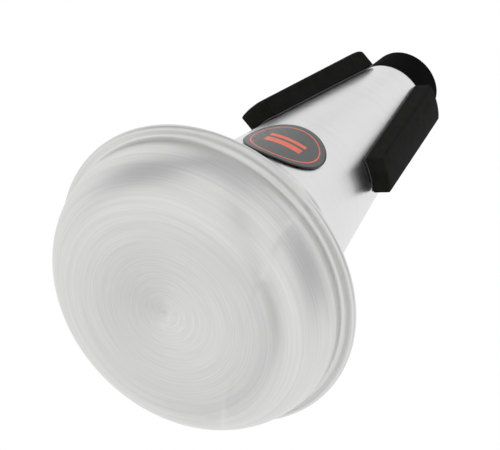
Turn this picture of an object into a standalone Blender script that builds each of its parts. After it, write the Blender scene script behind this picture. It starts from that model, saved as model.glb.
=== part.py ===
"""Straight mute for a piccolo trumpet: a spun aluminium cone and cap, three foam strips, a nose ring.

Metres, +Z up. The mute stands on the flat front of its cap with the narrow end up. The origin is the
centre of that flat front, and -Y is the side between the two strips that the label sits in.
"""

import math

import bmesh
import bpy

OBJECT_NAME = "piccolo_trumpet_straight_mute"

# Sheet metal, and the clearance kept wherever two pieces meet
SHEET = 0.0005
CLEARANCE = 0.0003
ROUND_STEPS = 60

# Cap: flat front, rounded shoulder, drawn-in neck, and the seam ring at the rim
RIM_RADIUS = 0.0390
RIM_HEIGHT = 0.0187
CAP_FRONT_RADIUS = 0.0242
SHOULDER_RADIUS = 0.0365
SHOULDER_HEIGHT = 0.0146
NECK_RADIUS = 0.0361
NECK_FILLET = 0.0013
CENTRE_MARK_RADIUS = 0.0012
CENTRE_MARK_DEPTH = 0.0002

# Folded seam: the cap's edge goes round the body's flange and back over it
FLANGE_WIDTH = 0.0022

# Body: a straight cone, a small bend, a flare with its own start and end slopes, and a flange
BODY_HEIGHT = 0.0965
NOSE_RADIUS = 0.0098
FLARE_RADIUS = 0.0570
FLARE_START_SLOPE = math.radians(20.0)
FLARE_END_SLOPE = math.radians(46.0)
FLARE_FILLET = 0.0015
BEND_RADIUS = 0.0120

# Nose ring: its head goes on past the cone and its spigot seats inside
NOSE_RING_LENGTH = 0.0102
NOSE_RING_END_RADIUS = 0.0092
NOSE_BORE_RADIUS = 0.0066
NOSE_SPIGOT_LENGTH = 0.0080
NOSE_EDGE_ROUND = 0.0007

# Foam strips and their adhesive film
STRIP_COUNT = 3
STRIP_WIDTH = 0.0093
STRIP_LENGTH = 0.0435
STRIP_THICKNESS = 0.0044
STRIP_EDGE_ROUND = 0.0004
STRIP_END_INSET = 0.0011
FIRST_STRIP_AZIMUTH = math.radians(-150.0)
FILM_THICKNESS = 0.0003
FILM_MARGIN = 0.0003

# Label: a round sticker on the cone
LABEL_RADIUS = 0.0105
LABEL_THICKNESS = 0.0002
LABEL_HEIGHT = 0.0336
LABEL_AZIMUTH = math.radians(-94.5)

# Facets
ARC_STEP = math.radians(22.5)
FLARE_STEP = math.radians(5.0)
STRIP_CUTS_ACROSS = 5
STRIP_CUTS_ALONG = 2
LABEL_RINGS = 4
LABEL_SPOKES = 36
SHOULDER_FACETS = 9
MERGE_DISTANCE = 0.000001

# Heights that follow from the sizes above
HEM_HALF = 1.5 * SHEET + CLEARANCE
FLANGE_TOP = RIM_HEIGHT + SHEET / 2
NOSE_HEIGHT = RIM_HEIGHT + BODY_HEIGHT


def arc(centre, radius, start, end, step=ARC_STEP):
    """Points on a circle in the profile plane, from one angle to the other, both in radians."""
    count = max(2, math.ceil(abs(end - start) / step))
    points = []
    for i in range(count + 1):
        angle = start + (end - start) * i / count
        points.append((centre[0] + radius * math.cos(angle), centre[1] + radius * math.sin(angle)))
    return points


def slope_normal(slope):
    """Outward normal of a wall that runs down and outwards at this angle from the axis."""
    return math.cos(slope), math.sin(slope)


def flare_points():
    """Where the flare meets the flange fillet, its arc's centre, and where it meets the cone."""
    flange_start = RIM_RADIUS - FLANGE_WIDTH
    fillet_centre = (flange_start, FLANGE_TOP + FLARE_FILLET)
    end_normal = slope_normal(FLARE_END_SLOPE)
    start_normal = slope_normal(FLARE_START_SLOPE)
    low = (
        fillet_centre[0] - FLARE_FILLET * end_normal[0],
        fillet_centre[1] - FLARE_FILLET * end_normal[1],
    )
    centre = (low[0] + FLARE_RADIUS * end_normal[0], low[1] + FLARE_RADIUS * end_normal[1])
    high = (centre[0] - FLARE_RADIUS * start_normal[0], centre[1] - FLARE_RADIUS * start_normal[1])
    return fillet_centre, centre, high


FILLET_CENTRE, FLARE_CENTRE, BEND_POINT = flare_points()
CONE_SLOPE = math.atan2(BEND_POINT[0] - NOSE_RADIUS, NOSE_HEIGHT - BEND_POINT[1])


def cone_radius(height):
    """Outer radius of the straight cone at a height."""
    return NOSE_RADIUS + (NOSE_HEIGHT - height) * math.tan(CONE_SLOPE)


def body_outline():
    """Outer side of the body from the nose down to the edge of its flange."""
    flange_edge = RIM_RADIUS - SHEET - CLEARANCE
    half_turn = (FLARE_START_SLOPE - CONE_SLOPE) / 2
    tangent = BEND_RADIUS * math.tan(half_turn)
    bend_start = (
        BEND_POINT[0] - tangent * math.sin(CONE_SLOPE),
        BEND_POINT[1] + tangent * math.cos(CONE_SLOPE),
    )
    bend_centre = (
        bend_start[0] + BEND_RADIUS * math.cos(CONE_SLOPE),
        bend_start[1] + BEND_RADIUS * math.sin(CONE_SLOPE),
    )
    guard = SHEET
    outline = [(NOSE_RADIUS, NOSE_HEIGHT)]
    outline.append((cone_radius(NOSE_HEIGHT - guard), NOSE_HEIGHT - guard))
    outline.append((cone_radius(bend_start[1] + guard), bend_start[1] + guard))
    outline += arc(bend_centre, BEND_RADIUS, math.pi + CONE_SLOPE, math.pi + FLARE_START_SLOPE)
    flare_start = FLARE_START_SLOPE + tangent / FLARE_RADIUS
    flare_end = math.pi + FLARE_END_SLOPE
    outline += arc(FLARE_CENTRE, FLARE_RADIUS, math.pi + flare_start, flare_end, FLARE_STEP)[1:]
    outline += arc(FILLET_CENTRE, FLARE_FILLET, flare_end, 1.5 * math.pi)[1:]
    outline.append((flange_edge, FLANGE_TOP))
    return outline


def cap_outline():
    """Outer side of the cap from the end of its hem, round the rim and down to the centre mark."""
    hem_centre = (RIM_RADIUS - HEM_HALF, RIM_HEIGHT)
    flange_low = RIM_HEIGHT - HEM_HALF
    neck_centre = (NECK_RADIUS + NECK_FILLET, flange_low - NECK_FILLET)
    shoulder_width = SHOULDER_RADIUS - CAP_FRONT_RADIUS
    outline = [(RIM_RADIUS - FLANGE_WIDTH, RIM_HEIGHT + HEM_HALF)]
    outline += arc(hem_centre, HEM_HALF, math.pi / 2, -math.pi / 2)
    outline += arc(neck_centre, NECK_FILLET, math.pi / 2, math.pi)
    for i in range(SHOULDER_FACETS + 1):
        angle = -math.pi / 2 * i / SHOULDER_FACETS
        radius = CAP_FRONT_RADIUS + shoulder_width * math.cos(angle)
        outline.append((radius, SHOULDER_HEIGHT + SHOULDER_HEIGHT * math.sin(angle)))
    outline.append((CENTRE_MARK_RADIUS, 0.0))
    outline.append((0.0, CENTRE_MARK_DEPTH))
    return outline


def nose_ring_outline():
    """Closed section of the nose ring, with its outer side running down."""
    top = NOSE_HEIGHT + NOSE_RING_LENGTH
    shoulder = NOSE_HEIGHT + CLEARANCE
    spigot_low = NOSE_HEIGHT - NOSE_SPIGOT_LENGTH
    wall_offset = (SHEET + CLEARANCE) / math.cos(CONE_SLOPE)
    outer_corner = (NOSE_RING_END_RADIUS - NOSE_EDGE_ROUND, top - NOSE_EDGE_ROUND)
    inner_corner = (NOSE_BORE_RADIUS + NOSE_EDGE_ROUND, top - NOSE_EDGE_ROUND)
    outline = arc(outer_corner, NOSE_EDGE_ROUND, math.pi / 2, 0.0)
    outline.append((NOSE_RADIUS, shoulder))
    outline.append((cone_radius(shoulder) - wall_offset, shoulder))
    outline.append((cone_radius(spigot_low) - wall_offset, spigot_low))
    outline.append((NOSE_BORE_RADIUS, spigot_low))
    outline += arc(inner_corner, NOSE_EDGE_ROUND, math.pi, math.pi / 2)
    return outline


def principled(name, colour, roughness, metallic):
    """A Principled material with one colour."""
    material = bpy.data.materials.new(name)
    material.use_nodes = True
    shader = material.node_tree.nodes["Principled BSDF"]
    shader.inputs["Base Color"].default_value = (*colour, 1.0)
    shader.inputs["Roughness"].default_value = roughness
    shader.inputs["Metallic"].default_value = metallic
    return material


def add_object(name, mesh, material):
    """Put a mesh in the object's collection under the piece's name."""
    mesh.materials.append(material)
    obj = bpy.data.objects.new(name, mesh)
    parts.objects.link(obj)
    return obj


def turned(name, outline, closed, material):
    """Turn a profile in the XZ plane about Z."""
    count = len(outline)
    edges = [(i, i + 1) for i in range(count - 1)]
    if closed:
        edges.append((count - 1, 0))
    mesh = bpy.data.meshes.new(name)
    mesh.from_pydata([(radius, 0.0, height) for radius, height in outline], edges, [])
    obj = add_object(name, mesh, material)
    screw = obj.modifiers.new("turn", "SCREW")
    screw.axis = "Z"
    screw.steps = ROUND_STEPS
    screw.render_steps = ROUND_STEPS
    screw.use_merge_vertices = True
    screw.merge_threshold = MERGE_DISTANCE
    screw.use_smooth_shade = True
    return obj


def spun_shell(name, outline, material):
    """Turn an open profile and give it the sheet's thickness on its inner side."""
    obj = turned(name, outline, False, material)
    wall = obj.modifiers.new("sheet", "SOLIDIFY")
    wall.thickness = SHEET
    wall.offset = -1.0
    wall.use_even_offset = True
    wall.use_quality_normals = True
    return obj


def cut_across(bm, axis, low, high, cuts):
    """Cut a box into equal lengths along one axis."""
    normal = [0.0, 0.0, 0.0]
    normal[axis] = 1.0
    for i in range(1, cuts + 1):
        point = [0.0, 0.0, 0.0]
        point[axis] = low + (high - low) * i / (cuts + 1)
        geometry = bm.verts[:] + bm.edges[:] + bm.faces[:]
        bmesh.ops.bisect_plane(bm, geom=geometry, plane_co=point, plane_no=normal)


def strip_on_cone(name, width, length, thickness, lift, low, edge_round, azimuth, material):
    """A flat strip, cut to size and then laid on the cone with its sides parallel."""
    bm = bmesh.new()
    bmesh.ops.create_cube(bm, size=1.0)
    for vert in bm.verts:
        vert.co.x *= width
        vert.co.y = (vert.co.y + 0.5) * length
        vert.co.z = (vert.co.z + 0.5) * thickness
    if edge_round > 0.0:
        bmesh.ops.bevel(bm, geom=bm.edges[:], offset=edge_round, segments=2, profile=0.5, affect="EDGES")
    cut_across(bm, 0, -width / 2, width / 2, STRIP_CUTS_ACROSS)
    cut_across(bm, 1, 0.0, length, STRIP_CUTS_ALONG)
    for vert in bm.verts:
        height = low + vert.co.y
        radius = cone_radius(height) + (lift + vert.co.z) / math.cos(CONE_SLOPE)
        angle = math.asin(vert.co.x / radius)
        vert.co = (radius * math.cos(angle), radius * math.sin(angle), height)
    mesh = bpy.data.meshes.new(name)
    bm.to_mesh(mesh)
    bm.free()
    mesh.shade_smooth()
    mesh.set_sharp_from_angle(angle=math.radians(40.0))
    obj = add_object(name, mesh, material)
    obj.rotation_euler.z = azimuth
    return obj


def label_on_cone(name, material):
    """A round sticker, wrapped on the cone so that it is round when laid flat."""
    lift = CLEARANCE + LABEL_THICKNESS
    centre_height = RIM_HEIGHT + LABEL_HEIGHT
    bm = bmesh.new()
    spoke = [bm.verts.new((LABEL_RADIUS * i / LABEL_RINGS, 0.0, 0.0)) for i in range(LABEL_RINGS + 1)]
    for inner, outer in zip(spoke, spoke[1:]):
        bm.edges.new((inner, outer))
    bmesh.ops.spin(
        bm, geom=bm.verts[:] + bm.edges[:], cent=(0, 0, 0), axis=(0, 0, 1),
        angle=2 * math.pi, steps=LABEL_SPOKES, use_duplicate=False,
    )
    bmesh.ops.remove_doubles(bm, verts=bm.verts[:], dist=MERGE_DISTANCE)
    for vert in bm.verts:
        height = centre_height + vert.co.y * math.cos(CONE_SLOPE)
        radius = cone_radius(height) + lift / math.cos(CONE_SLOPE)
        angle = vert.co.x / radius
        vert.co = (radius * math.cos(angle), radius * math.sin(angle), height)
    bmesh.ops.recalc_face_normals(bm, faces=bm.faces[:])
    bm.normal_update()
    if sum(face.normal.x for face in bm.faces) < 0.0:
        bmesh.ops.reverse_faces(bm, faces=bm.faces[:])
    mesh = bpy.data.meshes.new(name)
    bm.to_mesh(mesh)
    bm.free()
    mesh.shade_smooth()
    obj = add_object(name, mesh, material)
    obj.rotation_euler.z = LABEL_AZIMUTH
    vinyl = obj.modifiers.new("vinyl", "SOLIDIFY")
    vinyl.thickness = LABEL_THICKNESS
    vinyl.offset = -1.0
    return obj


def build_strips():
    """Three foam strips on their adhesive films, evenly spaced round the cone."""
    foam = principled("foam", (0.022, 0.022, 0.022), 0.9, 0.0)
    film = principled("adhesive", (0.75, 0.74, 0.70), 0.5, 0.0)
    low = NOSE_HEIGHT - STRIP_END_INSET - STRIP_LENGTH
    foam_lift = CLEARANCE + FILM_THICKNESS + CLEARANCE
    for i in range(STRIP_COUNT):
        azimuth = FIRST_STRIP_AZIMUTH + 2 * math.pi * i / STRIP_COUNT
        strip_on_cone(
            f"cushion_{i + 1}", STRIP_WIDTH, STRIP_LENGTH, STRIP_THICKNESS, foam_lift, low,
            STRIP_EDGE_ROUND, azimuth, foam,
        )
        strip_on_cone(
            f"adhesive_{i + 1}", STRIP_WIDTH - 2 * FILM_MARGIN, STRIP_LENGTH - 2 * FILM_MARGIN,
            FILM_THICKNESS, CLEARANCE, low + FILM_MARGIN, 0.0, azimuth, film,
        )


def build():
    """Make every piece of the mute."""
    spun = principled("spun_aluminium", (0.80, 0.80, 0.80), 0.30, 1.0)
    brushed = principled("brushed_aluminium", (0.78, 0.78, 0.77), 0.34, 1.0)
    rubber = principled("nose_rubber", (0.018, 0.018, 0.018), 0.85, 0.0)
    vinyl = principled("label_vinyl", (0.075, 0.075, 0.078), 0.35, 0.0)
    spun_shell("cone_body", body_outline(), spun)
    spun_shell("bottom_cap", cap_outline(), brushed)
    turned("nose_ring", nose_ring_outline(), True, rubber)
    build_strips()
    label_on_cone("label", vinyl)


for old in list(bpy.data.objects):
    bpy.data.objects.remove(old, do_unlink=True)
parts = bpy.data.collections.new(OBJECT_NAME)
bpy.context.scene.collection.children.link(parts)
build()
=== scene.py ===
import math

import bmesh
import bpy
from mathutils import Matrix, Vector, noise


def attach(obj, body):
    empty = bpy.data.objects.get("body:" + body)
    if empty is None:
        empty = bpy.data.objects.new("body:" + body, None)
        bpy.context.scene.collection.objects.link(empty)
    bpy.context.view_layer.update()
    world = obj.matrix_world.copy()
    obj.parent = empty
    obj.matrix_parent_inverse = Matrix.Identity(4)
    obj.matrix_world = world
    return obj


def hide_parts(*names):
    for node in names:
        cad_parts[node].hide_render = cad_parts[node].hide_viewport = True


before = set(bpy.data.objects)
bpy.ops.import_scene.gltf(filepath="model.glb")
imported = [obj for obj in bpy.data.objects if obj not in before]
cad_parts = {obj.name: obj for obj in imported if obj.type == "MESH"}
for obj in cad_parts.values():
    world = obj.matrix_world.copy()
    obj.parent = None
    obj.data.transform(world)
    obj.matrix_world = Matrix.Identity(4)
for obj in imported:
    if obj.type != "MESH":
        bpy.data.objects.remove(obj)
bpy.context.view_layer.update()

# Real sizes of the mute, in metres
SHEET = 0.0005
CLEARANCE = 0.0003
RIM_RADIUS = 0.0390
RIM_HEIGHT = 0.0187
CAP_FRONT_RADIUS = 0.0242
SHOULDER_RADIUS = 0.0365
SHOULDER_HEIGHT = 0.0146
NECK_RADIUS = 0.0361
NECK_FILLET = 0.0013
CENTRE_MARK_RADIUS = 0.0012
CENTRE_MARK_DEPTH = 0.0002
FLANGE_WIDTH = 0.0022
BODY_HEIGHT = 0.0965
NOSE_RADIUS = 0.0098
FLARE_RADIUS = 0.0570
FLARE_START_SLOPE = math.radians(20.0)
FLARE_END_SLOPE = math.radians(46.0)
FLARE_FILLET = 0.0015
BEND_RADIUS = 0.0060
STRIP_COUNT = 3
STRIP_WIDTH = 0.0093
STRIP_LENGTH = 0.0435
STRIP_TOP = 0.0053
STRIP_LIFT = 0.00064
STRIP_EDGE_ROUND = 0.00045
STRIP_END_INSET = 0.0011
STRIP_NARROW_ROUND = 0.0018
STRIP_WIDE_ROUND = 0.0009
FIRST_STRIP_AZIMUTH = math.radians(-150.0)
FOAM_DIMPLE = 0.00007
DIMPLE_SCALE = 900.0
DIMPLE_SHIFT = 31.0
LABEL_RADIUS = 0.0105
LABEL_LIFT = 0.00035
LABEL_THICKNESS = 0.00015
LABEL_HEIGHT = 0.0336
LABEL_AZIMUTH = math.radians(-94.5)

# The label's print, in shares of its radius
RING_INNER = 0.80
RING_OUTER = 0.835
DARK_EDGE = 0.955
BAR_HALF_WIDTH = 0.46
BAR_OFFSET = 0.14
UPPER_BAR_HALF = 0.07
LOWER_BAR_HALF = 0.11
CHARCOAL = (0.085, 0.085, 0.088)
EDGE_BLACK = (0.012, 0.012, 0.013)
ORANGE = (0.82, 0.145, 0.07)

# Textures: scales per metre, depths in metres
LINE_FINE_SCALE = 2600.0
LINE_BROAD_SCALE = 420.0
LINE_FINE_SHARE = 0.88
LINE_DRIFT = 0.0004
LINE_DEPTH = 0.00004
FOAM_SCALE = 5200.0
RUBBER_SCALE = 4200.0
PATCH_RATIO = 14.0
GRAIN_SHARE = 0.7
PORE_DEPTH = 0.00015
VINYL_SCALE = 900.0
FILM_SCALE = 700.0

# Fineness of the meshes
ROUND_STEPS = 160
ARC_STEP = math.radians(6.0)
STRIP_CUTS = (15, 70, 7)
LABEL_RINGS = 16
LABEL_SPOKES = 96
MERGE_DISTANCE = 0.000001
GUARD = 0.0003

# Heights that follow
HEM_HALF = 1.5 * SHEET + CLEARANCE
FLANGE_TOP = RIM_HEIGHT + SHEET / 2
NOSE_HEIGHT = RIM_HEIGHT + BODY_HEIGHT

# Camera: the mute's axis as the photograph shows it, and the rim's centre in rim radii from the lens
IMAGE_WIDTH = 500.0
FOCAL_PIXELS = 3000.0
SENSOR_WIDTH = 36.0
AXIS_TILT = math.radians(41.12)
AXIS_TURN = math.radians(43.81)
RIM_FROM_LENS = Vector((-0.2625, -0.3046, -17.917)) * RIM_RADIUS
NEAR_SIDE_AZIMUTH = math.radians(-65.5)

# Stage: the soft light of the world, and the floor
SKY_COLOUR = (0.93, 0.95, 0.95, 1.0)
SKY_STRENGTH = 0.82
FLOOR_SIZE = 3.0
FLOOR_DROP = 0.0004

# Lamps and cards, placed from the rim's centre along the camera's right, up and back axes
LAMPS = (
    ("key", (-0.55, 0.35, 0.60), 1.10, 4.0, (1.0, 0.99, 0.97)),
    ("fill", (0.40, -0.75, 0.55), 1.10, 3.6, (1.0, 1.0, 1.0)),
)
CARDS = (
    ("card_right", (0.58, 0.04, 0.22), 0.50, 0.52),
    ("card_above_lens", (0.03, 0.17, 0.60), 0.15, 0.02),
    ("card_below_lens", (-0.10, -0.46, 0.42), 0.22, 0.02),
    ("card_top", (0.12, 0.62, 0.05), 0.54, 0.55),
    ("card_left", (-0.43, 0.44, 0.10), 0.46, 0.55),
    ("card_low_left", (-0.34, -0.50, 0.12), 0.24, 0.62),
)


def arc(centre, radius, start, end):
    """Points on a circle in the profile plane."""
    count = max(2, math.ceil(abs(end - start) / ARC_STEP))
    angles = [start + (end - start) * i / count for i in range(count + 1)]
    return [(centre[0] + radius * math.cos(a), centre[1] + radius * math.sin(a)) for a in angles]


def flare_points():
    """The flange fillet's centre, the flare arc's centre, and where the flare meets the cone."""
    fillet = (RIM_RADIUS - FLANGE_WIDTH, FLANGE_TOP + FLARE_FILLET)
    low = (
        fillet[0] - FLARE_FILLET * math.cos(FLARE_END_SLOPE),
        fillet[1] - FLARE_FILLET * math.sin(FLARE_END_SLOPE),
    )
    centre = (
        low[0] + FLARE_RADIUS * math.cos(FLARE_END_SLOPE),
        low[1] + FLARE_RADIUS * math.sin(FLARE_END_SLOPE),
    )
    high = (
        centre[0] - FLARE_RADIUS * math.cos(FLARE_START_SLOPE),
        centre[1] - FLARE_RADIUS * math.sin(FLARE_START_SLOPE),
    )
    return fillet, centre, high


FILLET_CENTRE, FLARE_CENTRE, BEND_POINT = flare_points()
CONE_SLOPE = math.atan2(BEND_POINT[0] - NOSE_RADIUS, NOSE_HEIGHT - BEND_POINT[1])


def cone_radius(height):
    """Outer radius of the straight cone at a height."""
    return NOSE_RADIUS + (NOSE_HEIGHT - height) * math.tan(CONE_SLOPE)


def body_outline():
    """Outer side of the body from the nose down to the flange's edge."""
    tangent = BEND_RADIUS * math.tan((FLARE_START_SLOPE - CONE_SLOPE) / 2)
    start = (
        BEND_POINT[0] - tangent * math.sin(CONE_SLOPE),
        BEND_POINT[1] + tangent * math.cos(CONE_SLOPE),
    )
    bend_centre = (
        start[0] + BEND_RADIUS * math.cos(CONE_SLOPE),
        start[1] + BEND_RADIUS * math.sin(CONE_SLOPE),
    )
    flare_start = math.pi + FLARE_START_SLOPE + tangent / FLARE_RADIUS
    flare_end = math.pi + FLARE_END_SLOPE
    outline = [(NOSE_RADIUS, NOSE_HEIGHT)]
    outline.append((cone_radius(NOSE_HEIGHT - GUARD), NOSE_HEIGHT - GUARD))
    outline.append((cone_radius(start[1] + GUARD), start[1] + GUARD))
    outline += arc(bend_centre, BEND_RADIUS, math.pi + CONE_SLOPE, math.pi + FLARE_START_SLOPE)
    outline += arc(FLARE_CENTRE, FLARE_RADIUS, flare_start, flare_end)[1:]
    outline += arc(FILLET_CENTRE, FLARE_FILLET, flare_end, 1.5 * math.pi)[1:]
    outline.append((RIM_RADIUS - SHEET - CLEARANCE, FLANGE_TOP))
    return outline


def cap_outline():
    """Outer side of the cap from the end of its hem, round the rim and down to the centre mark."""
    flange_low = RIM_HEIGHT - HEM_HALF
    outline = [(RIM_RADIUS - FLANGE_WIDTH, RIM_HEIGHT + HEM_HALF)]
    outline += arc((RIM_RADIUS - HEM_HALF, RIM_HEIGHT), HEM_HALF, math.pi / 2, -math.pi / 2)
    outline += arc((NECK_RADIUS + NECK_FILLET, flange_low - NECK_FILLET), NECK_FILLET, math.pi / 2, math.pi)
    for along, across in arc((0.0, 0.0), 1.0, 0.0, -math.pi / 2):
        radius = CAP_FRONT_RADIUS + (SHOULDER_RADIUS - CAP_FRONT_RADIUS) * along
        outline.append((radius, SHOULDER_HEIGHT * (1.0 + across)))
    outline.append((CAP_FRONT_RADIUS - GUARD, 0.0))
    outline.append((CENTRE_MARK_RADIUS, 0.0))
    outline.append((CENTRE_MARK_RADIUS * 0.6, CENTRE_MARK_DEPTH))
    outline.append((0.0, CENTRE_MARK_DEPTH))
    return outline


def add_piece(name, mesh, material, slot, *replaced):
    """Add a piece that rides on the mute and stands for CAD nodes."""
    mesh.materials.append(material)
    obj = bpy.data.objects.new(name, mesh)
    bpy.context.scene.collection.objects.link(obj)
    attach(obj, "root")
    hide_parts(*replaced)
    return obj


def spun_shell(name, outline, material, slot, replaced):
    """Turn a profile about the mute's axis and give it the sheet's thickness."""
    mesh = bpy.data.meshes.new(name)
    edges = [(i, i + 1) for i in range(len(outline) - 1)]
    mesh.from_pydata([(radius, 0.0, height) for radius, height in outline], edges, [])
    obj = add_piece(name, mesh, material, slot, replaced)
    turn = obj.modifiers.new("turn", "SCREW")
    turn.steps = ROUND_STEPS
    turn.render_steps = ROUND_STEPS
    turn.use_merge_vertices = True
    turn.merge_threshold = MERGE_DISTANCE
    turn.use_smooth_shade = True
    wall = obj.modifiers.new("sheet", "SOLIDIFY")
    wall.thickness = SHEET
    wall.offset = -1.0
    wall.use_even_offset = True


def foam_strip(index, material):
    """A cut foam strip bent onto the cone, with softened edges and small uneven pores."""
    azimuth = FIRST_STRIP_AZIMUTH + 2 * math.pi * index / STRIP_COUNT
    low = NOSE_HEIGHT - STRIP_END_INSET - STRIP_LENGTH
    thickness = STRIP_TOP - STRIP_LIFT
    bm = bmesh.new()
    bmesh.ops.create_cube(bm, size=1.0)
    for vert in bm.verts:
        vert.co = (
            vert.co.x * STRIP_WIDTH,
            (vert.co.y + 0.5) * STRIP_LENGTH,
            (vert.co.z + 0.5) * thickness,
        )
    bmesh.ops.bevel(
        bm, geom=bm.edges[:], offset=STRIP_EDGE_ROUND, segments=3, profile=0.5, affect="EDGES")
    spans = ((-STRIP_WIDTH / 2, STRIP_WIDTH / 2), (0.0, STRIP_LENGTH), (0.0, thickness))
    for axis, ((first, last), cuts) in enumerate(zip(spans, STRIP_CUTS)):
        for i in range(1, cuts + 1):
            point = Vector((0.0, 0.0, 0.0))
            point[axis] = first + (last - first) * i / (cuts + 1)
            normal = Vector((0.0, 0.0, 0.0))
            normal[axis] = 1.0
            bmesh.ops.bisect_plane(
                bm, geom=bm.verts[:] + bm.edges[:] + bm.faces[:], plane_co=point, plane_no=normal)
    for vert in bm.verts:
        for depth, out, size in ((vert.co.y, -1.0, STRIP_WIDE_ROUND),
                                 (STRIP_LENGTH - vert.co.y, 1.0, STRIP_NARROW_ROUND)):
            along = size - depth
            across = size - (thickness - vert.co.z)
            reach = math.hypot(along, across)
            if along > 0.0 and across > 0.0 and reach > size:
                pull = 1.0 - size / reach
                vert.co.y -= out * along * pull
                vert.co.z -= across * pull
    bm.normal_update()
    for vert in bm.verts:
        seed = vert.co * DIMPLE_SCALE + Vector((0.0, DIMPLE_SHIFT * index, 0.0))
        dent = FOAM_DIMPLE * (0.5 + 0.5 * noise.noise(seed))
        vert.co -= vert.normal * dent
    for vert in bm.verts:
        height = low + vert.co.y
        radius = cone_radius(height) + (STRIP_LIFT + vert.co.z) / math.cos(CONE_SLOPE)
        angle = azimuth + math.asin(vert.co.x / radius)
        vert.co = (radius * math.cos(angle), radius * math.sin(angle), height)
    mesh = bpy.data.meshes.new(f"foam_strip_{index + 1}")
    bm.to_mesh(mesh)
    bm.free()
    mesh.shade_smooth()
    obj = add_piece(f"foam_strip_{index + 1}", mesh, material, "cushion", f"cushion_{index + 1}")


def label_sticker(material):
    """A round sticker wrapped on the cone, with its flat shape kept as its UV map."""
    bm = bmesh.new()
    flat = bm.loops.layers.uv.new("flat")
    spoke = [bm.verts.new((LABEL_RADIUS * i / LABEL_RINGS, 0.0, 0.0)) for i in range(LABEL_RINGS + 1)]
    for inner, outer in zip(spoke, spoke[1:]):
        bm.edges.new((inner, outer))
    bmesh.ops.spin(
        bm, geom=bm.verts[:] + bm.edges[:], cent=(0, 0, 0), axis=(0, 0, 1),
        angle=2 * math.pi, steps=LABEL_SPOKES, use_duplicate=False)
    bmesh.ops.remove_doubles(bm, verts=bm.verts[:], dist=MERGE_DISTANCE)
    bmesh.ops.recalc_face_normals(bm, faces=bm.faces[:])
    for face in bm.faces:
        for loop in face.loops:
            loop[flat].uv = (loop.vert.co.x / LABEL_RADIUS, loop.vert.co.y / LABEL_RADIUS)
    for vert in bm.verts:
        height = RIM_HEIGHT + LABEL_HEIGHT + vert.co.y * math.cos(CONE_SLOPE)
        radius = cone_radius(height) + (LABEL_LIFT + LABEL_THICKNESS) / math.cos(CONE_SLOPE)
        angle = LABEL_AZIMUTH + vert.co.x / radius
        vert.co = (radius * math.cos(angle), radius * math.sin(angle), height)
    bm.normal_update()
    if sum(face.normal.x * face.calc_center_median().x + face.normal.y * face.calc_center_median().y
           for face in bm.faces) < 0.0:
        bmesh.ops.reverse_faces(bm, faces=bm.faces[:])
    mesh = bpy.data.meshes.new("round_sticker")
    bm.to_mesh(mesh)
    bm.free()
    mesh.shade_smooth()
    obj = add_piece("round_sticker", mesh, material, "label", "label")
    vinyl = obj.modifiers.new("vinyl", "SOLIDIFY")
    vinyl.thickness = LABEL_THICKNESS
    vinyl.offset = -1.0


def new_material(name):
    """A node material, its tree and its shader."""
    material = bpy.data.materials.new(name)
    material.use_nodes = True
    tree = material.node_tree
    return material, tree, tree.nodes["Principled BSDF"]


def math_node(tree, operation, first, second=None):
    """A Math node on sockets or constants."""
    node = tree.nodes.new("ShaderNodeMath")
    node.operation = operation
    for socket, value in zip(node.inputs, (first, second)):
        if value is None:
            continue
        if isinstance(value, float):
            socket.default_value = value
        else:
            tree.links.new(value, socket)
    return node.outputs[0]


def length(tree, x, y):
    """Length of the vector (x, y)."""
    squares = math_node(tree, "ADD", math_node(tree, "MULTIPLY", x, x), math_node(tree, "MULTIPLY", y, y))
    return math_node(tree, "SQRT", squares)


def weighed(tree, first, second, share):
    """The first value times its share, plus the second times the rest."""
    first = math_node(tree, "MULTIPLY", first, share)
    return math_node(tree, "ADD", first, math_node(tree, "MULTIPLY", second, 1.0 - share))


def ramp(tree, value, stops, interpolation="LINEAR"):
    """A colour ramp with (position, grey or colour) stops."""
    node = tree.nodes.new("ShaderNodeValToRGB")
    node.color_ramp.interpolation = interpolation
    elements = node.color_ramp.elements
    while len(elements) < len(stops):
        elements.new(0.5)
    for element, (position, colour) in zip(elements, stops):
        element.position = position
        element.color = (*colour, 1.0) if isinstance(colour, tuple) else (colour, colour, colour, 1.0)
    tree.links.new(value, node.inputs[0])
    return node.outputs[0]


def noise_value(tree, vector, scale, detail):
    """Noise on a vector."""
    node = tree.nodes.new("ShaderNodeTexNoise")
    node.inputs["Scale"].default_value = scale
    node.inputs["Detail"].default_value = detail
    tree.links.new(vector, node.inputs["Vector"])
    return node.outputs["Fac"]


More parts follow.
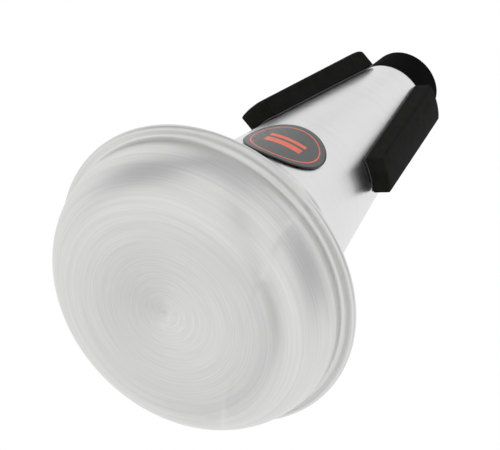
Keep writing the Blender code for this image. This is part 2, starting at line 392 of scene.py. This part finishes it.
def brushed_metal(name, colour, roughness, depth, anisotropy):
    """Aluminium with fine turned lines that run round the axis."""
    material, tree, shader = new_material(name)
    place = tree.nodes.new("ShaderNodeTexCoord").outputs["Object"]
    split = tree.nodes.new("ShaderNodeSeparateXYZ")
    tree.links.new(place, split.inputs[0])
    x, y, z = split.outputs
    radius = length(tree, x, y)
    lines = tree.nodes.new("ShaderNodeCombineXYZ")
    tree.links.new(radius, lines.inputs[0])
    tree.links.new(z, lines.inputs[1])
    turned = math_node(tree, "ABSOLUTE", math_node(tree, "ARCTAN2", y, x))
    tree.links.new(math_node(tree, "MULTIPLY", turned, LINE_DRIFT), lines.inputs[2])
    fine = noise_value(tree, lines.outputs[0], LINE_FINE_SCALE, 3.0)
    broad = noise_value(tree, lines.outputs[0], LINE_BROAD_SCALE, 2.0)
    both = weighed(tree, fine, broad, LINE_FINE_SHARE)
    shade = ramp(tree, both, ((0.3, tuple(c * (1.0 - depth / 2) for c in colour)), (0.7, colour)))
    tree.links.new(shade, shader.inputs["Base Color"])
    tree.links.new(ramp(tree, both, ((0.3, roughness + 0.07), (0.7, roughness - 0.05))),
                   shader.inputs["Roughness"])
    shader.inputs["Metallic"].default_value = 1.0
    shader.inputs["Anisotropic"].default_value = anisotropy
    tangent = tree.nodes.new("ShaderNodeTangent")
    tangent.direction_type = "RADIAL"
    tangent.axis = "Z"
    tree.links.new(tangent.outputs[0], shader.inputs["Tangent"])
    bump = tree.nodes.new("ShaderNodeBump")
    bump.inputs["Strength"].default_value = depth
    bump.inputs["Distance"].default_value = LINE_DEPTH
    tree.links.new(both, bump.inputs["Height"])
    tree.links.new(bump.outputs[0], shader.inputs["Normal"])
    return material


def black_foam(name, dark, light, specular, scale, depth):
    """Matte black foam or rubber with fine speckle and pores."""
    material, tree, shader = new_material(name)
    place = tree.nodes.new("ShaderNodeTexCoord").outputs["Object"]
    grain = noise_value(tree, place, scale, 4.0)
    patch = noise_value(tree, place, scale / PATCH_RATIO, 2.0)
    both = weighed(tree, grain, patch, GRAIN_SHARE)
    tree.links.new(ramp(tree, both, ((0.35, dark), (0.68, light))), shader.inputs["Base Color"])
    tree.links.new(ramp(tree, grain, ((0.3, 0.95), (0.7, 0.80))), shader.inputs["Roughness"])
    shader.inputs["Specular IOR Level"].default_value = specular
    bump = tree.nodes.new("ShaderNodeBump")
    bump.inputs["Strength"].default_value = depth
    bump.inputs["Distance"].default_value = PORE_DEPTH
    tree.links.new(grain, bump.inputs["Height"])
    tree.links.new(bump.outputs[0], shader.inputs["Normal"])
    return material


def label_vinyl():
    """Charcoal sticker with a dark edge, a thin orange ring and two plain orange bars."""
    material, tree, shader = new_material("label_print")
    flat = tree.nodes.new("ShaderNodeUVMap")
    flat.uv_map = "flat"
    split = tree.nodes.new("ShaderNodeSeparateXYZ")
    tree.links.new(flat.outputs[0], split.inputs[0])
    x, y, _ = split.outputs
    stops = ((0.0, CHARCOAL), (RING_INNER, ORANGE), (RING_OUTER, CHARCOAL), (DARK_EDGE, EDGE_BLACK))
    base = ramp(tree, length(tree, x, y), stops, "CONSTANT")
    wide = math_node(tree, "LESS_THAN", math_node(tree, "ABSOLUTE", x), BAR_HALF_WIDTH)
    above = math_node(tree, "ABSOLUTE", math_node(tree, "SUBTRACT", y, BAR_OFFSET))
    below = math_node(tree, "ABSOLUTE", math_node(tree, "ADD", y, BAR_OFFSET))
    upper = math_node(tree, "LESS_THAN", above, UPPER_BAR_HALF)
    lower = math_node(tree, "LESS_THAN", below, LOWER_BAR_HALF)
    bars = math_node(tree, "MULTIPLY", wide, math_node(tree, "ADD", upper, lower))
    mix = tree.nodes.new("ShaderNodeMix")
    mix.data_type = "RGBA"
    tree.links.new(bars, mix.inputs["Factor"])
    tree.links.new(base, mix.inputs["A"])
    mix.inputs["B"].default_value = (*ORANGE, 1.0)
    tree.links.new(mix.outputs["Result"], shader.inputs["Base Color"])
    place = tree.nodes.new("ShaderNodeTexCoord").outputs["Object"]
    tree.links.new(ramp(tree, noise_value(tree, place, VINYL_SCALE, 2.0), ((0.3, 0.30), (0.7, 0.42))),
                   shader.inputs["Roughness"])
    return material


def adhesive_film():
    """Thin dark film, with a little unevenness."""
    material, tree, shader = new_material("adhesive_film")
    place = tree.nodes.new("ShaderNodeTexCoord").outputs["Object"]
    tree.links.new(ramp(tree, noise_value(tree, place, FILM_SCALE, 2.0), ((0.3, 0.03), (0.7, 0.06))),
                   shader.inputs["Base Color"])
    shader.inputs["Roughness"].default_value = 0.6
    return material


def white_world():
    """White to the camera and in the metal, and a little softer as light."""
    world = bpy.data.worlds.new("studio")
    bpy.context.scene.world = world
    world.use_nodes = True
    tree = world.node_tree
    back = tree.nodes["Background"]
    back.inputs["Color"].default_value = SKY_COLOUR
    back.inputs["Strength"].default_value = SKY_STRENGTH
    white = tree.nodes.new("ShaderNodeBackground")
    white.inputs["Color"].default_value = (1.0, 1.0, 1.0, 1.0)
    white.inputs["Strength"].default_value = 1.0
    path = tree.nodes.new("ShaderNodeLightPath")
    mirrored = math_node(tree, "MAXIMUM", path.outputs["Is Glossy Ray"], path.outputs["Is Transmission Ray"])
    mix = tree.nodes.new("ShaderNodeMixShader")
    tree.links.new(math_node(tree, "MAXIMUM", path.outputs["Is Camera Ray"], mirrored), mix.inputs[0])
    tree.links.new(back.outputs[0], mix.inputs[1])
    tree.links.new(white.outputs[0], mix.inputs[2])
    tree.links.new(mix.outputs[0], tree.nodes["World Output"].inputs[0])


def one_sided_floor():
    """A pale floor that shows from above and is clear from below, where the photograph looks from."""
    bpy.ops.mesh.primitive_plane_add(size=FLOOR_SIZE, location=(0.0, 0.0, -FLOOR_DROP))
    floor = bpy.context.object
    floor.name = "floor"
    material, tree, shader = new_material("floor_paper")
    shader.inputs["Base Color"].default_value = (0.9, 0.9, 0.9, 1.0)
    shader.inputs["Roughness"].default_value = 0.8
    side = tree.nodes.new("ShaderNodeNewGeometry").outputs["Backfacing"]
    seen = tree.nodes.new("ShaderNodeLightPath").outputs["Is Camera Ray"]
    from_above = math_node(tree, "MULTIPLY", seen, math_node(tree, "SUBTRACT", 1.0, side))
    clear = tree.nodes.new("ShaderNodeBsdfTransparent")
    mix = tree.nodes.new("ShaderNodeMixShader")
    tree.links.new(from_above, mix.inputs[0])
    tree.links.new(clear.outputs[0], mix.inputs[1])
    tree.links.new(shader.outputs[0], mix.inputs[2])
    tree.links.new(mix.outputs[0], tree.nodes["Material Output"].inputs[0])
    floor.data.materials.append(material)


def photo_camera():
    """Camera at the photograph's viewing angle, from the tilt and turn of the mute's axis."""
    axis = Vector((math.sin(AXIS_TILT) * math.cos(AXIS_TURN), math.sin(AXIS_TILT) * math.sin(AXIS_TURN),
                   -math.cos(AXIS_TILT)))
    side = Vector((math.sin(AXIS_TURN), -math.cos(AXIS_TURN), 0.0))
    near = side.cross(axis)
    cos_turn = math.cos(NEAR_SIDE_AZIMUTH)
    sin_turn = math.sin(NEAR_SIDE_AZIMUTH)
    part_x = cos_turn * near - sin_turn * side
    part_y = sin_turn * near + cos_turn * side
    to_camera = Matrix((part_x, part_y, axis)).transposed()
    turn = to_camera.inverted()
    place = Vector((0.0, 0.0, RIM_HEIGHT)) - turn @ RIM_FROM_LENS
    data = bpy.data.cameras.new("photo_camera")
    data.sensor_width = SENSOR_WIDTH
    data.sensor_fit = "HORIZONTAL"
    data.lens = FOCAL_PIXELS / IMAGE_WIDTH * SENSOR_WIDTH
    data.clip_start = 0.01
    camera = bpy.data.objects.new("photo_camera", data)
    camera.matrix_world = Matrix.Translation(place) @ turn.to_4x4()
    bpy.context.scene.collection.objects.link(camera)
    bpy.context.scene.camera = camera
    return camera


def soft_light(name, camera, offset, size, power, colour):
    """A round lamp aimed at the mute, and hidden from reflections."""
    data = bpy.data.lights.new(name, "AREA")
    data.shape = "DISK"
    data.size = size
    data.energy = power
    data.color = colour
    light = bpy.data.objects.new(name, data)
    target = Vector((0.0, 0.0, RIM_HEIGHT))
    turn = camera.matrix_world.to_3x3()
    place = target + turn @ Vector(offset)
    light.location = place
    light.visible_glossy = False
    light.rotation_euler = (target - place).to_track_quat("-Z", "Y").to_euler()
    bpy.context.scene.collection.objects.link(light)


def reflection_card(name, camera, offset, size, grey):
    """A card that the camera doesn't see and the metal mirrors as a soft darker patch."""
    bpy.ops.mesh.primitive_plane_add(size=size)
    card = bpy.context.object
    card.name = name
    target = Vector((0.0, 0.0, RIM_HEIGHT))
    place = target + camera.matrix_world.to_3x3() @ Vector(offset)
    card.location = place
    card.rotation_euler = (target - place).to_track_quat("Z", "Y").to_euler()
    card.visible_camera = False
    card.visible_shadow = False
    material, _, shader = new_material(name + "_board")
    shader.inputs["Base Color"].default_value = (grey, grey, grey, 1.0)
    shader.inputs["Roughness"].default_value = 0.9
    card.data.materials.append(material)


cone_metal = brushed_metal(
    "cone_metal", colour=(0.745, 0.745, 0.745), roughness=0.32, depth=0.05, anisotropy=0.35)
spun_shell("spun_cone", body_outline(), cone_metal, "cone_body", "cone_body")
cap_metal = brushed_metal(
    "cap_metal", colour=(0.75, 0.75, 0.745), roughness=0.41, depth=0.20, anisotropy=0.60)
spun_shell("spun_cap", cap_outline(), cap_metal, "bottom_cap", "bottom_cap")
foam = black_foam(
    "strip_foam", dark=(0.004, 0.004, 0.004), light=(0.013, 0.0125, 0.012), specular=0.10,
    scale=FOAM_SCALE, depth=0.6)
for strip in range(STRIP_COUNT):
    foam_strip(strip, foam)
label_sticker(label_vinyl())
rubber = black_foam(
    "nose_rubber", dark=(0.0015, 0.0015, 0.0015), light=(0.004, 0.004, 0.004), specular=0.04,
    scale=RUBBER_SCALE, depth=0.3)
film = adhesive_film()
finishes = [("nose_ring", rubber)]
finishes += [(f"adhesive_{strip + 1}", film) for strip in range(STRIP_COUNT)]
for node, material in finishes:
    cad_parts[node].data.materials.clear()
    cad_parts[node].data.materials.append(material)

white_world()
one_sided_floor()
view_camera = photo_camera()
for name, offset, size, power, colour in LAMPS:
    soft_light(name, view_camera, offset, size, power, colour)
for name, offset, size, grey in CARDS:
    reflection_card(name, view_camera, offset, size, grey)
bpy.context.scene.view_settings.view_transform = "Standard"
